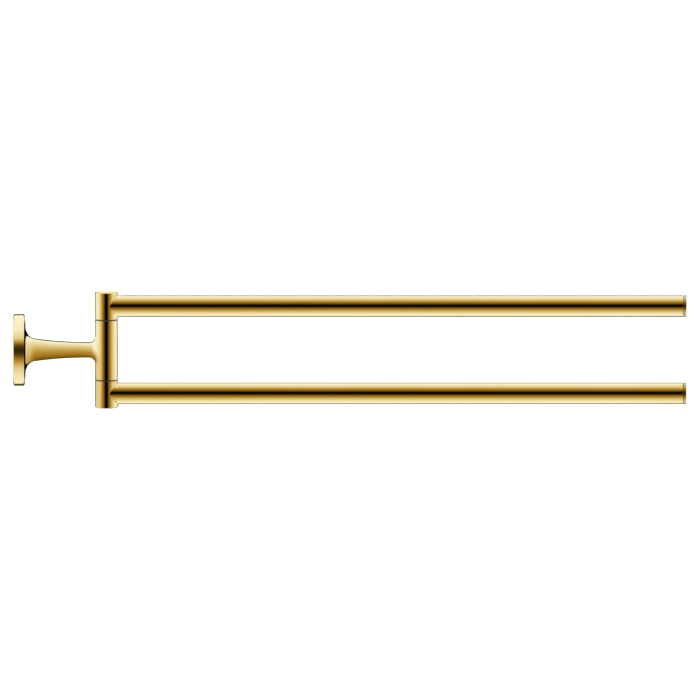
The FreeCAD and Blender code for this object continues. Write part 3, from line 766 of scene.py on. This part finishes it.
# %% Black card
CARD_X = AXIS_X + 0.15 * MM
CARD_GAP = 2 * MM
CARD_CORE = 1.24 * MM
CARD_FADE = 2.12 * MM
CARD_BELOW = 1.9 * MM
CARD_ABOVE = 0.8 * MM


def beside_card(tree):
    place = split(tree, add_node(tree, "ShaderNodeTexCoord").outputs["Object"])
    return ease(tree, gap_to(tree, place["X"], CARD_X), CARD_CORE, CARD_FADE)


black_card = flat_paper(
    "black_card", (CARD_X - CARD_FADE, -COLUMN_RADIUS - CARD_GAP, -COLUMN_END - CARD_BELOW),
    (2 * CARD_FADE, 2 * COLUMN_END + CARD_BELOW + CARD_ABOVE), "Y", plain_tone(BLACK), plain_tone(BLACK),
)
let_through(black_card, beside_card)

# %% [markdown]
# ## Effects that several finishes share
#
# Each effect is a node group with named inputs and outputs, so that one mend improves
# every finish that uses it. A group only works out values that vary over the surface.
# The finish itself decides what they do to its colour, roughness or bumps. The scale of
# a noise is about how many of its patches lie along one metre.


# %% Group helpers
def new_group(name, inputs, outputs):
    group = bpy.data.node_groups.new(name, "ShaderNodeTree")
    for label, kind in inputs:
        group.interface.new_socket(label, in_out="INPUT", socket_type="NodeSocket" + kind)
    for label in outputs:
        group.interface.new_socket(label, in_out="OUTPUT", socket_type="NodeSocketFloat")
    return group, add_node(group, "NodeGroupInput").outputs, add_node(group, "NodeGroupOutput").inputs


def use_group(tree, group, **sources):
    node = add_node(tree, "ShaderNodeGroup", node_tree=group)
    for label, source in sources.items():
        feed(tree, node.inputs[label], source)
    return node.outputs


def report(group):
    print("group:", group.name, "nodes:", len(group.nodes))


# %% [markdown]
# ### Lines of the tool
#
# A buffing wheel or a lathe leaves very fine lines across its direction. Place says how
# far a point lies across them, in metres. The lines are a noise along that one measure,
# and a coarser noise over the surface lets them come and go.

# %% Tool lines
FINE_LINES = 5200
COARSE_LINES = 900
COARSE_SHARE = 0.6
LINE_PATCHES = 260
PATCH_BORDER = (0.38, 0.62)
FAINTEST_LINES = 0.25
SHINING_LINES = (0.5, 0.8)

tool_lines, given, result = new_group(
    "tool_lines", [("Place", "Float"), ("Point", "Vector")], ["Height", "Sheen"],
)
fine = noise(tool_lines, given["Place"], FINE_LINES, 3.0, noise_dimensions="1D")
coarse = noise(tool_lines, given["Place"], COARSE_LINES, noise_dimensions="1D")
patches = noise(tool_lines, given["Point"], LINE_PATCHES)
shown = ease(tool_lines, patches, *PATCH_BORDER, FAINTEST_LINES, 1.0)
both = calculate(tool_lines, "MULTIPLY_ADD", coarse, COARSE_SHARE, fine)
feed(tool_lines, result["Height"], calculate(tool_lines, "MULTIPLY", both, shown))
shining = ease(tool_lines, fine, *SHINING_LINES)
feed(tool_lines, result["Sheen"], calculate(tool_lines, "MULTIPLY", shining, shown))
report(tool_lines)

# %% [markdown]
# ### Wiped haze and slow drift
#
# A cloth leaves thin veils with soft borders, a few millimetres to a few centimetres
# wide. Drift is much slower: plating grows a little thicker here than there, and its
# colour follows.

# %% Wiped haze
WIPE_STRETCH = (0.45, 1, 1)
VEILS = 70
VEIL_BORDER = (0.5, 0.72)
VEIL_SPOTS = 700
SPOT_BORDER = (0.35, 0.7)
FAINTEST_SPOTS = 0.4
DRIFTS = 11
DRIFT_BORDER = (0.3, 0.7)

wiped_haze, given, result = new_group("wiped_haze", [("Point", "Vector")], ["Haze", "Drift"])
stretched = reckon(wiped_haze, "MULTIPLY", given["Point"], WIPE_STRETCH)
veils = ease(wiped_haze, noise(wiped_haze, stretched, VEILS, 4.0, 0.6), *VEIL_BORDER)
spots = noise(wiped_haze, given["Point"], VEIL_SPOTS)
spots = ease(wiped_haze, spots, *SPOT_BORDER, FAINTEST_SPOTS, 1.0)
feed(wiped_haze, result["Haze"], calculate(wiped_haze, "MULTIPLY", veils, spots))
drift = noise(wiped_haze, given["Point"], DRIFTS, 1.0)
feed(wiped_haze, result["Drift"], ease(wiped_haze, drift, *DRIFT_BORDER))
report(wiped_haze)

# %% [markdown]
# ### Hairlines
#
# Towels and hands leave single fine scratches in all directions. Each set of them is a
# noise drawn out along one direction, of which only the narrow middle is kept, broken
# up by a second noise. Two sets cross each other.

# %% Hairlines
HAIRLINE_SETS = (((0.5, 0.2, 0.35), 0.0), ((-0.9, 0.2, -0.6), 3.7))
HAIRLINE_STRETCH = (60, 1500, 1500)
HAIRLINE_WIDTH = 0.012
BREAKS = 180
BREAKS_PER_SEED = 40
BREAK_BORDER = (0.58, 0.66)

hairlines, given, result = new_group("hairlines", [("Point", "Vector")], ["Marks"])
sets = []
for turns, seed in HAIRLINE_SETS:
    turned = add_node(hairlines, "ShaderNodeVectorRotate", rotation_type="EULER_XYZ")
    feed(hairlines, turned.inputs["Vector"], given["Point"])
    turned.inputs["Rotation"].default_value = turns
    drawn = reckon(hairlines, "MULTIPLY_ADD", turned.outputs[0], HAIRLINE_STRETCH, (seed, seed, seed))
    away = gap_to(hairlines, noise(hairlines, drawn, 1.0, 1.0), 0.5)
    line = ease(hairlines, away, 0.0, HAIRLINE_WIDTH, 1.0, 0.0)
    breaks = noise(hairlines, given["Point"], BREAKS + BREAKS_PER_SEED * seed, 1.0)
    breaks = ease(hairlines, breaks, *BREAK_BORDER)
    sets.append(calculate(hairlines, "MULTIPLY", line, breaks))
feed(hairlines, result["Marks"], calculate(hairlines, "MAXIMUM", *sets))
report(hairlines)

# %% [markdown]
# ### Settled dust
#
# Dust lies only on what faces up. It comes in specks, thicker in some patches.

# %% Settled dust
FACING_UP = (0.35, 1.0)
SPECKS = 2400
SPECK_BORDER = (0.6, 0.72)
DUST_PATCHES = 90
DUST_BORDER = (0.4, 0.65)

settled_dust, given, result = new_group(
    "settled_dust", [("Point", "Vector"), ("Facing", "Vector")], ["Dust"],
)
upward = ease(settled_dust, split(settled_dust, given["Facing"])["Z"], *FACING_UP)
specks = ease(settled_dust, noise(settled_dust, given["Point"], SPECKS, 1.0), *SPECK_BORDER)
heaps = ease(settled_dust, noise(settled_dust, given["Point"], DUST_PATCHES), *DUST_BORDER)
heaped_specks = calculate(settled_dust, "MULTIPLY", specks, heaps)
feed(settled_dust, result["Dust"], calculate(settled_dust, "MULTIPLY", upward, heaped_specks))
report(settled_dust)

# %% [markdown]
# ### Painted shade and residue in joints
#
# Where two pieces meet, a thin dark band is painted into the colour. It is partly polishing
# residue that the cloth never reaches, and partly painted shade in the seams and in the end
# caps' groove. Distance is how far a point lies from the joint, in metres. The band's width wavers.

# %% Painted shade and residue in joints
BAND_WAVERS = 1200
BAND_NARROW = 0.1 * MM
BAND_WIDENS = 0.25 * MM

joint_shade_and_residue, given, result = new_group(
    "joint_shade_and_residue", [("Distance", "Float"), ("Point", "Vector")], ["Residue"],
)
waver = noise(joint_shade_and_residue, given["Point"], BAND_WAVERS)
band_width = calculate(joint_shade_and_residue, "MULTIPLY_ADD", waver, BAND_WIDENS, BAND_NARROW)
joint_band = ease(joint_shade_and_residue, given["Distance"], 0.0, band_width, 1.0, 0.0)
feed(joint_shade_and_residue, result["Residue"], joint_band)
report(joint_shade_and_residue)

# %% [markdown]
# ### Grain of moulded or plated surfaces
#
# Polymers take a fine matt grain from the mould, and zinc grows in small crystals. Both
# are a fine noise for the height, with a slower one that lets the tone vary.

# %% Fine grain
TONE_SCALE = 0.12
TONE_BORDER = (0.3, 0.7)

fine_grain, given, result = new_group(
    "fine_grain", [("Point", "Vector"), ("Fineness", "Float")], ["Height", "Tone"],
)
scaled = add_node(fine_grain, "ShaderNodeVectorMath", operation="SCALE")
feed(fine_grain, scaled.inputs["Vector"], given["Point"])
feed(fine_grain, scaled.inputs["Scale"], given["Fineness"])
feed(fine_grain, result["Height"], noise(fine_grain, scaled.outputs[0], 1.0, 3.0, 0.6))
slow = noise(fine_grain, scaled.outputs[0], TONE_SCALE)
feed(fine_grain, result["Tone"], ease(fine_grain, slow, *TONE_BORDER))
report(fine_grain)

# %% [markdown]
# ## What every finish starts with
#
# Each finish is one Principled shader with the piece's own coordinates. Its roughness is
# a start value plus what each effect adds, and its finest relief is a bump.


# %% Finish helpers
def new_finish(name):
    material = bpy.data.materials.new(name)
    material.use_nodes = True
    tree = material.node_tree
    shader = tree.nodes["Principled BSDF"]
    point = add_node(tree, "ShaderNodeTexCoord").outputs["Object"]
    return material, tree, shader, point


def add_up(tree, start, *shares):
    """start plus each source times its weight."""
    total = start
    for source, weight in shares:
        total = calculate(tree, "MULTIPLY_ADD", source, weight, total)
    return total


def raise_bumps(tree, shader, height, depth):
    """A bump that raises a height of 1 by a depth in millimetres."""
    bump = add_node(tree, "ShaderNodeBump")
    bump.inputs["Distance"].default_value = depth * MM
    feed(tree, bump.inputs["Height"], height)
    feed(tree, shader.inputs["Normal"], bump.outputs["Normal"])


# %% [markdown]
# ## Where the wheel ran and where the joints lie
#
# The buffing wheel runs round each piece, so its lines lie across the arms' length,
# level round the column, and in rings on the rosette. Each function measures how far a
# point lies across the lines, or from the nearest joint.

# %% Measures over the surface
FILLET_WIDTH = 2 * MM
END_GROOVE = 1.8 * MM


def across_x(tree, point):
    return split(tree, point)["X"]


def across_z(tree, point):
    return split(tree, point)["Z"]


def across_bracket(tree, point):
    """Round the stem up to its fillet, then round the barrel."""
    place = split(tree, point)
    barrel_start = AXIS_X - COLUMN_RADIUS
    on_barrel = ease(tree, place["X"], barrel_start - FILLET_WIDTH, barrel_start)
    along = calculate(tree, "SUBTRACT", place["Z"], place["X"])
    return calculate(tree, "MULTIPLY_ADD", along, on_barrel, place["X"])


def across_rosette(tree, point):
    return calculate(tree, "ADD", radius_round(tree, point, "X"), split(tree, point)["X"])


def across_column_end(tree, point):
    return radius_round(tree, point, "Z", AXIS_X)


def wall_distance(tree, point):
    return split(tree, point)["X"]


def seam_distance(tree, point):
    """From the nearer of the two seams, which lie alike above and below the middle."""
    height = calculate(tree, "ABSOLUTE", split(tree, point)["Z"])
    to_middle = gap_to(tree, height, (SEAM_LOW + SEAM_HIGH) / 2)
    return calculate(tree, "SUBTRACT", to_middle, (SEAM_HIGH - SEAM_LOW) / 2)


def tube_end_distance(tree, point):
    return calculate(tree, "SUBTRACT", TUBE_END, split(tree, point)["X"])


# the end caps' groove: the darkening placed from here is painted shade of the groove
def groove_distance(tree, point):
    return calculate(tree, "SUBTRACT", split(tree, point)["X"], ARM_END - END_GROOVE)


def sleeve_cap_distance(tree, point):
    cap_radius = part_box("upper_sleeve_cap")[1].x - AXIS_X
    return gap_to(tree, across_column_end(tree, point), cap_radius)


print("seam height:", round((SEAM_HIGH - SEAM_LOW) / MM, 2), "mm")

# %% [markdown]
# ## The gold
#
# The holder is brass, buffed to a mirror and plated. Plating keeps the buffing and adds
# a colour that drifts a little with its thickness. One function makes all the golds from
# two of the measures above, and each is named by the pieces that wear it. Near the joints
# it darkens the colour: painted shade, with some polishing residue. The slim end caps are
# duller, because their narrow faces are turned and hardly buffed, and the plugs inside are
# left as plain brass.

# %% Gold plating
GOLD_LEAN = (0.955, 0.705, 0.385)
GOLD_RICH = (0.945, 0.675, 0.335)
# the dark of the joints: painted shade, with some polishing residue
PAINTED_SHADE_AND_RESIDUE_TONE = (0.11, 0.09, 0.075)
DUST_TONE = (0.55, 0.52, 0.48)
DUST_COVERS = 0.25
BUFFED = 0.05
HAZE_DULLS = 0.05
LINES_DULL = 0.03
MARKS_DULL = 0.12
DUST_DULLS = 0.3
RESIDUE_DULLS = 0.35
MARKS_DEEPER = -2.0


def gold_finish(
    name, place_of, joint_of, lean=GOLD_LEAN, rich=GOLD_RICH, roughness=BUFFED,
    line_depth=0.00012, shade_and_residue_share=0.8,
):
    material, tree, shader, point = new_finish(name)
    facing = add_node(tree, "ShaderNodeNewGeometry").outputs["Normal"]
    lines = use_group(tree, tool_lines, Place=place_of(tree, point), Point=point)
    haze = use_group(tree, wiped_haze, Point=point)
    marks = use_group(tree, hairlines, Point=point)["Marks"]
    dust = use_group(tree, settled_dust, Point=point, Facing=facing)["Dust"]
    shade_and_residue_mask = use_group(
        tree, joint_shade_and_residue, Distance=joint_of(tree, point), Point=point)["Residue"]
    plated = blend_colours(tree, haze["Drift"], lean, rich)
    dusty = blend_colours(tree, calculate(tree, "MULTIPLY", dust, DUST_COVERS), plated, DUST_TONE)
    # near joints the colour darkens: painted shade, with some polishing residue
    darkened_at_joints = blend_colours(tree, calculate(tree, "MULTIPLY", shade_and_residue_mask, shade_and_residue_share), dusty, PAINTED_SHADE_AND_RESIDUE_TONE)
    feed(tree, shader.inputs["Base Color"], darkened_at_joints)
    shader.inputs["Metallic"].default_value = 1
    feed(tree, shader.inputs["Roughness"], add_up(
        tree, roughness, (haze["Haze"], HAZE_DULLS), (lines["Sheen"], LINES_DULL),
        (marks, MARKS_DULL), (dust, DUST_DULLS), (shade_and_residue_mask, RESIDUE_DULLS),
    ))
    height = calculate(tree, "MULTIPLY_ADD", marks, MARKS_DEEPER, lines["Height"])
    raise_bumps(tree, shader, height, line_depth)
    return material


gold = {
    "arm_tube": gold_finish("gold_on_arms", across_x, tube_end_distance, shade_and_residue_share=0.45),
    "sleeve": gold_finish("gold_on_column", across_z, seam_distance, shade_and_residue_share=0.9),
    "bracket": gold_finish("gold_on_bracket", across_bracket, seam_distance, shade_and_residue_share=0.9),
    "rosette": gold_finish("gold_on_rosette", across_rosette, wall_distance),
    "sleeve_cap": gold_finish("gold_on_column_ends", across_column_end, sleeve_cap_distance),
    "end_cap": gold_finish(
        "satin_gold_on_arm_ends", across_x, groove_distance, between(BLACK, GOLD_LEAN, 0.70),
        between(BLACK, GOLD_RICH, 0.66), roughness=0.06, line_depth=0.0004, shade_and_residue_share=0.35,
    ),
    "arm_insert": gold_finish(
        "plain_brass_inside", across_x, tube_end_distance, roughness=0.22, line_depth=0.001),
}
for name, finish in gold.items():
    for side in ("", "upper_", "lower_"):
        if side + name in nodes:
            nodes[side + name].material_slots[0].material = finish
print("gold finishes:", list(gold))

# %% [markdown]
# ## Zinc, steel and spring steel
#
# What the gold hides is plain hardware. The wall plate, washer, screw and nuts are
# stamped or turned steel with a bright zinc coat, bluish here and faintly straw
# coloured there. The spindle, the thrust washers and the grub screw are stainless,
# turned and left so. The disc springs are blackened and oiled, and the oil lies on
# them as an uneven clear coat.

# %% Steels
GRAIN_DULLS = 0.12
SHEEN_DULLS = 0.08
WIPING_DULLS = 0.1
GRAIN_SHARE = 0.8
OIL_BORDER = (0.2, 0.8)
THINNEST_OIL = 0.3
OIL_ROUGHNESS = 0.08


def steel_finish(name, place_of, first, second, roughness, line_depth, fineness, oiled=False):
    material, tree, shader, point = new_finish(name)
    lines = use_group(tree, tool_lines, Place=place_of(tree, point), Point=point)
    grain = use_group(tree, fine_grain, Point=point, Fineness=fineness)
    haze = use_group(tree, wiped_haze, Point=point)
    feed(tree, shader.inputs["Base Color"], blend_colours(tree, grain["Tone"], first, second))
    shader.inputs["Metallic"].default_value = 1
    feed(tree, shader.inputs["Roughness"], add_up(
        tree, roughness, (grain["Height"], GRAIN_DULLS), (lines["Sheen"], SHEEN_DULLS),
        (haze["Haze"], WIPING_DULLS),
    ))
    height = calculate(tree, "MULTIPLY_ADD", grain["Height"], GRAIN_SHARE, lines["Height"])
    raise_bumps(tree, shader, height, line_depth)
    if oiled:
        oil = ease(tree, grain["Tone"], *OIL_BORDER, THINNEST_OIL, 1.0)
        feed(tree, shader.inputs["Coat Weight"], oil)
        shader.inputs["Coat Roughness"].default_value = OIL_ROUGHNESS
    return material


steels = {
    "zinc_plated_steel": steel_finish(
        "zinc_plated_steel", across_x, (0.60, 0.64, 0.74), (0.71, 0.71, 0.67),
        roughness=0.2, line_depth=0.002, fineness=2600,
    ),
    "stainless_steel": steel_finish(
        "stainless_steel", across_z, (0.58, 0.575, 0.57), (0.65, 0.645, 0.64),
        roughness=0.16, line_depth=0.002, fineness=5000,
    ),
    "spring_steel": steel_finish(
        "spring_steel", across_column_end, (0.17, 0.17, 0.19), (0.27, 0.24, 0.22),
        roughness=0.28, line_depth=0.003, fineness=3200, oiled=True,
    ),
}
print("steels:", list(steels))

# %% [markdown]
# ## Polymers
#
# The friction washers show as the two dark seams of the column: a charcoal polymer with
# a shade of blue. The bushes are a plain off-white bearing polymer. Both keep the matt
# grain of their moulds.

# %% Polymers
POLYMER_IOR = 1.5
MOULD_DEPTH = 0.012
MOULD_DULLS = 0.15
RUBBING_SHINES = -0.1


def polymer_finish(name, first, second, roughness, fineness):
    material, tree, shader, point = new_finish(name)
    grain = use_group(tree, fine_grain, Point=point, Fineness=fineness)
    marks = use_group(tree, hairlines, Point=point)["Marks"]
    feed(tree, shader.inputs["Base Color"], blend_colours(tree, grain["Tone"], first, second))
    feed(tree, shader.inputs["Roughness"], add_up(
        tree, roughness, (grain["Height"], MOULD_DULLS), (marks, RUBBING_SHINES)))
    shader.inputs["IOR"].default_value = POLYMER_IOR
    raise_bumps(tree, shader, grain["Height"], MOULD_DEPTH)
    return material


polymers = {
    "dark_polymer": polymer_finish(
        "dark_polymer", (0.026, 0.028, 0.042), (0.036, 0.038, 0.054), roughness=0.16, fineness=5200),
    "white_polymer": polymer_finish(
        "white_polymer", (0.80, 0.80, 0.77), (0.87, 0.86, 0.82), roughness=0.38, fineness=4200),
}
plain_finishes = {**steels, **polymers}
for row in frame["record"]["subparts"]:
    if row["material_slot"] in plain_finishes:
        nodes[row["node"]].material_slots[0].material = plain_finishes[row["material_slot"]]
print("finishes:", sorted({node.material_slots[0].material.name for node in nodes.values()}))

# %% [markdown]
# ## Braze beads at the saddle joints
#
# Each arm tube is cut to a saddle, set on its sleeve and brazed. The filler draws into
# the corner and leaves a small hollow bead that the plating covers. Such a bead is what
# a ball would leave that rolls round the corner and touches tube and sleeve at once: at
# every turn its centre lies one ball radius off both, and the bead's face is the arc
# between its two points of touch. Its thin borders lie a hair below both surfaces.

# %% Braze beads
BEAD_BALL = 0.4 * MM
BEAD_SINK = 0.005 * MM
BEAD_ROOT = 0.1 * MM
BEAD_STEPS = 160
ARC_STEPS = 6
BEAD_WELD = 0.0001 * MM
SHARP_FROM = math.radians(50)


def bead_section(turn, height):
    """The bead's closed section at one turn round the arm, as points in the frame."""
    outwards = Vector((0, math.cos(turn), math.sin(turn)))
    centre = outwards * (ARM_RADIUS + BEAD_BALL)
    centre.x = math.sqrt((COLUMN_RADIUS + BEAD_BALL) ** 2 - centre.y ** 2)
    to_column = Vector((-centre.x, -centre.y, 0)).normalized()
    to_arm = -outwards
    arc = [
        centre + (BEAD_BALL + BEAD_SINK) * to_arm.slerp(to_column, step / ARC_STEPS)
        for step in range(ARC_STEPS + 1)
    ]
    middle = (to_arm + to_column).normalized()
    root = centre + middle * (BEAD_BALL / middle.dot(to_arm) + BEAD_ROOT)
    return [point + Vector((AXIS_X, 0, height)) for point in (*arc, root)]


def braze_bead(name, height, body):
    """A loop round the arm, extruded from point to point of its sections, and closed."""
    made = bmesh.new()
    sections = [bead_section(2 * math.pi * step / BEAD_STEPS, height) for step in range(BEAD_STEPS)]
    loop = bmesh.ops.create_circle(made, segments=BEAD_STEPS, radius=1)["verts"]
    first_edges = edges = made.edges[:]
    for vert, section in zip(loop, sections):
        vert.co = section[0]
    for number in range(1, len(sections[0])):
        grown = bmesh.ops.extrude_edge_only(made, edges=edges)["geom"]
        new_verts = {part for part in grown if isinstance(part, bmesh.types.BMVert)}
        for vert in new_verts:
            step = min(range(BEAD_STEPS), key=lambda s: (sections[s][number - 1] - vert.co).length)
            vert.co = sections[step][number]
        edges = [
            part for part in grown
            if isinstance(part, bmesh.types.BMEdge) and new_verts.issuperset(part.verts)
        ]
    bmesh.ops.bridge_loops(made, edges=edges + first_edges)
    bmesh.ops.remove_doubles(made, verts=made.verts, dist=BEAD_WELD)
    bmesh.ops.recalc_face_normals(made, faces=made.faces)
    for face in made.faces:
        face.smooth = True
    for edge in made.edges:
        if len(edge.link_faces) == 2 and edge.calc_face_angle(0) > SHARP_FROM:
            edge.smooth = False
    open_edges = sum(1 for edge in made.edges if len(edge.link_faces) != 2)
    bead = new_object(name, made)
    bead.data.materials.append(gold["arm_tube"])
    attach(bead, body)
    print(name, "faces:", len(bead.data.polygons), "open edges:", open_edges)


braze_bead("upper_braze_bead", ARM_HEIGHT, "upper_arm")
braze_bead("lower_braze_bead", -ARM_HEIGHT, "lower_arm")
